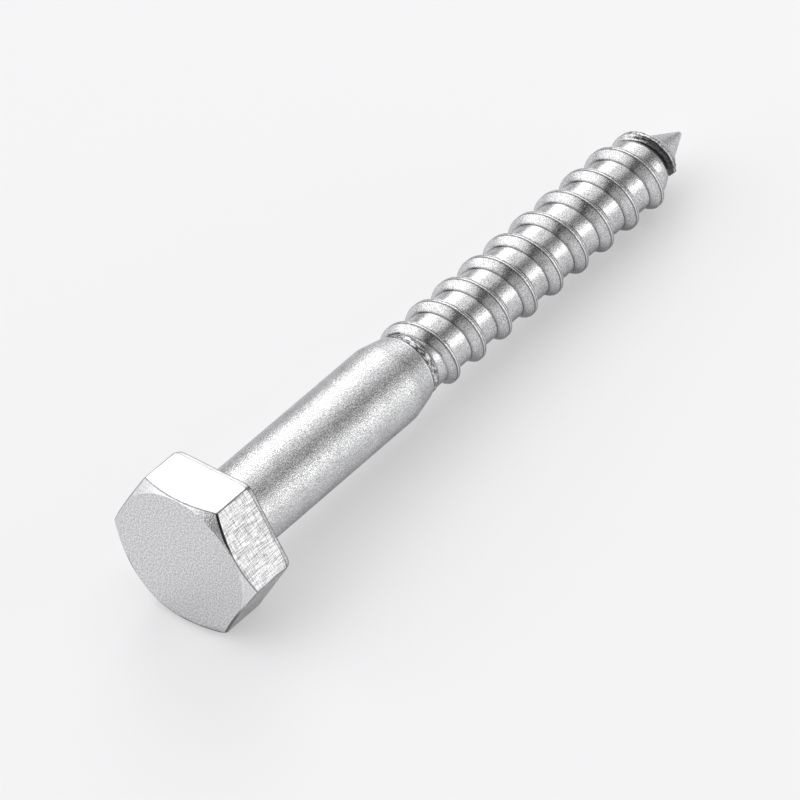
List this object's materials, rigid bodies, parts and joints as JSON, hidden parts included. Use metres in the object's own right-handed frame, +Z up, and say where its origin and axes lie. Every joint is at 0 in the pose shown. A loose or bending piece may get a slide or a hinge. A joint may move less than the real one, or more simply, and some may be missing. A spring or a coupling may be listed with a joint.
{
  "type": "lag screw",
  "caption": "Hex-head lag screw with a chamfered head, plain shank, tapered shoulder, coarse wood thread and gimlet point, for fixing timber.",
  "frame": {"origin": "middle of the screw's length and width on the floor it lies on", "axes": "+X from the head to the point, dipping 3.1 degrees as the screw lies; +Z up; one pair of head flats faces up and down"},
  "size_m": [0.0868, 0.0196, 0.0173],
  "materials": {
    "stainless_steel": "bright cold-forged stainless steel, finely grained"
  },
  "bodies": {
    "root": {"lag_screw": "stainless_steel"}
  },
  "joints": []
}
